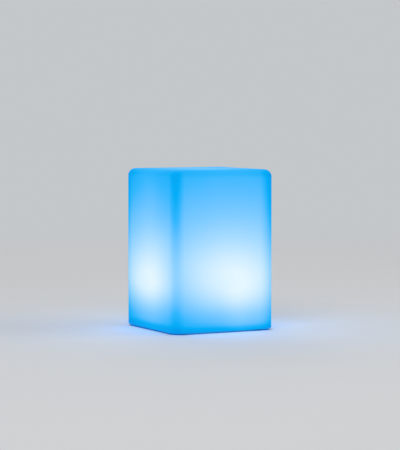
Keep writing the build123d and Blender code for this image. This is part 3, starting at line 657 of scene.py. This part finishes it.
def seen_rays(tree):
    """1 for what the camera sees, straight or in a reflection or through something clear, else 0."""
    path = tree.nodes.new("ShaderNodeLightPath")
    total = path.outputs["Is Camera Ray"]
    for name in ("Is Glossy Ray", "Is Transmission Ray"):
        more = tree.nodes.new("ShaderNodeMath")
        more.operation = "MAXIMUM"
        tree.links.new(total, more.inputs[0])
        tree.links.new(path.outputs[name], more.inputs[1])
        total = more.outputs[0]
    return total


def painted_shadow_mask(nodes, x, y):
    """Mask of the painted shadow on the floor: 1 under the shade, 0 outside its rounded outline."""
    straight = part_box("shade_shell")[1].x - SHADE_ROUND
    past_x, past_y = (nodes.math("MAXIMUM", nodes.math("ABSOLUTE", v) - straight, 0.0) for v in (x, y))
    return nodes.grows(nodes.length(past_x, past_y), (SHADE_ROUND, SHADE_ROUND - PAINTED_SHADOW_BLUR))


def studio_floor():
    """Pale floor with a painted shadow under the shade, turning into the backdrop further out. From below
    it lets light and view through.
    """
    mesh = bmesh.new()
    bmesh.ops.create_grid(mesh, x_segments=1, y_segments=1, size=FLOOR_REACH)
    nodes = Nodes("studio_floor")
    x, y = nodes.parts("Object")[:2]
    cloud_colour = tuple(FLOOR_CLOUD_SHADE * channel for channel in FLOOR)
    open_floor = nodes.mix(nodes.noise(FLOOR_CLOUDS), FLOOR, cloud_colour)
    # painted shadow on the floor under the shade, tinted with the lamp's blue
    nodes.set("Base Color", nodes.mix(painted_shadow_mask(nodes, x, y), open_floor, FLOOR_PAINTED_SHADOW))
    nodes.set("Roughness", FLOOR_ROUGHNESS)
    nodes.set("Specular IOR Level", FLOOR_SPECULAR)
    far = nodes.node("ShaderNodeEmission")
    nodes.feed(far.inputs["Color"], BACKDROP)
    fade = nodes.grows(nodes.length(x, y), FLOOR_FADE)
    faded = nodes.mix_shaders(fade, nodes.shader.outputs[0], far.outputs[0])
    behind = Signal(nodes, nodes.node("ShaderNodeNewGeometry").outputs["Backfacing"])
    seen = Signal(nodes, seen_rays(nodes.tree)) * (1.0 - behind)
    clear = nodes.node("ShaderNodeBsdfTransparent")
    nodes.feed(nodes.output.inputs[0], nodes.mix_shaders(seen, clear.outputs[0], faded))
    floor = piece("studio_floor", mesh, nodes.material)


def studio_sky():
    """Even white light from all round. The camera sees the backdrop's colour instead."""
    world = bpy.data.worlds.new("studio_sky")
    bpy.context.scene.world = world
    world.use_nodes = True
    tree = world.node_tree
    sky = tree.nodes["Background"]
    sky.inputs["Color"].default_value = (1.0, 1.0, 1.0, 1.0)
    sky.inputs["Strength"].default_value = SKY_STRENGTH
    seen = tree.nodes.new("ShaderNodeBackground")
    seen.inputs["Color"].default_value = (*BACKDROP, 1.0)
    both = tree.nodes.new("ShaderNodeMixShader")
    tree.links.new(seen_rays(tree), both.inputs[0])
    tree.links.new(sky.outputs[0], both.inputs[1])
    tree.links.new(seen.outputs[0], both.inputs[2])
    tree.links.new(both.outputs[0], tree.nodes["World Output"].inputs[0])


def area_light(name, place, direction):
    """A soft light that shines one way and isn't seen by the camera."""
    data = bpy.data.lights.new(name, "AREA")
    made = bpy.data.objects.new(name, data)
    made.location = place
    made.rotation_euler = direction.to_track_quat("-Z", "Y").to_euler()
    made.visible_camera = False
    bpy.context.collection.objects.link(made)
    return made


def soft_light(name, place, side, power):
    """Square soft light, aimed at the middle of the lamp."""
    data = area_light(name, place, (CAD_LOW + CAD_HIGH) / 2 - Vector(place)).data
    data.size = side
    data.energy = power


def floor_spill():
    """Unseen soft lights on the shade's four faces and four edges, for the glow that falls on the floor."""
    low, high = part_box("shade_shell")
    flat = high.x - low.x - 2 * SHADE_ROUND
    corner = 2 * SHADE_ROUND * math.tan(math.pi / 8)
    corner_out = flat / 2 * math.sqrt(2) + SHADE_ROUND
    for eighth in range(8):
        width, out = (corner, corner_out) if eighth % 2 else (flat, high.x)
        angle = eighth * math.pi / 4
        outward = Vector((math.cos(angle), math.sin(angle), 0.0))
        made = area_light(f"spill_light_{eighth}", (low + high) / 2 + outward * (out + SPILL_GAP), outward)
        made.visible_glossy = False
        made.data.shape = "RECTANGLE"
        made.data.size = width
        made.data.size_y = high.z - low.z
        made.data.energy = SPILL_POWER * made.data.size * made.data.size_y
        made.data.color = SPILL_COLOUR


def photo_camera():
    """Camera at the photograph's view."""
    data = bpy.data.cameras.new("photo_camera")
    data.sensor_width = CAMERA_SENSOR
    data.lens = CAMERA_LENS
    camera = bpy.data.objects.new("photo_camera", data)
    across = Vector((math.cos(CAMERA_TURN), -math.sin(CAMERA_TURN), 0.0))
    ahead = Vector((math.sin(CAMERA_TURN), math.cos(CAMERA_TURN), 0.0))
    camera.location = across * CAMERA_SIDE - ahead * CAMERA_DISTANCE + Vector((0.0, 0.0, CAMERA_HEIGHT))
    look = ahead * math.cos(CAMERA_PITCH) - Vector((0.0, 0.0, math.sin(CAMERA_PITCH)))
    camera.rotation_euler = look.to_track_quat("-Z", "Y").to_euler()
    bpy.context.collection.objects.link(camera)
    bpy.context.scene.camera = camera


MATERIALS = make_materials()
dress_solids()
button_mark()
fold_web()
studio_floor()
studio_sky()
for light in SOFT_LIGHTS:
    soft_light(*light)
floor_spill()
photo_camera()
bpy.context.scene.view_settings.view_transform = "Standard"
